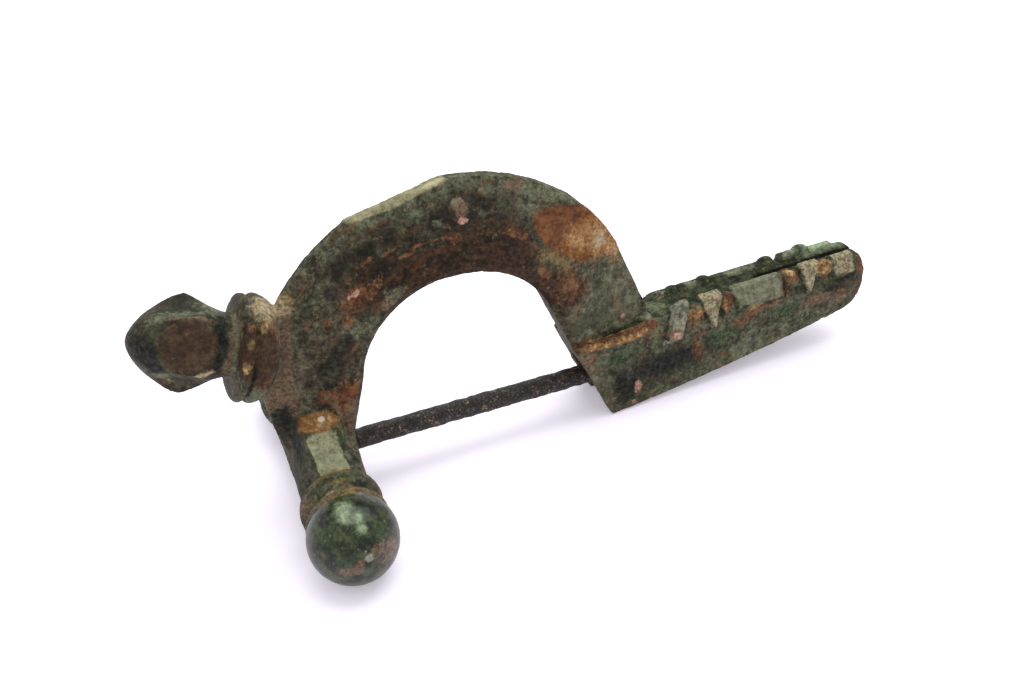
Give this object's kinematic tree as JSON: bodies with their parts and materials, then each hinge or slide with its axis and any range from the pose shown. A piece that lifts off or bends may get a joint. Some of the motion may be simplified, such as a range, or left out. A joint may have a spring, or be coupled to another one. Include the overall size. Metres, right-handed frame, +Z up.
{
  "type": "roman crossbow brooch",
  "caption": "Crossbow brooch with a high arched bow, a knobbed crossbar, a head knob and a channelled foot that takes a swinging pin.",
  "frame": {"origin": "middle of the brooch's length and width, on the plane that its two arm knobs and foot stand on", "axes": "+X from the head knob to the foot, +Y across along the crossbar, +Z up through the bow"},
  "size_m": [0.0782, 0.0368, 0.0306],
  "materials": {
    "patinated_bronze": "patinated",
    "corroded_iron": "corroded",
    "axis_iron": "corroded"
  },
  "bodies": {
    "casting": {"body": "patinated_bronze", "hinge_axis": "axis_iron"},
    "pin": {"pin": "corroded_iron"}
  },
  "joints": [
    {"name": "pin_swing", "type": "hinge", "parent": "casting", "child": "pin", "pos_m": [-0.0237, 0, 0.0041], "axis": [0, 1, 0], "range_deg": [0, 75]}
  ]
}
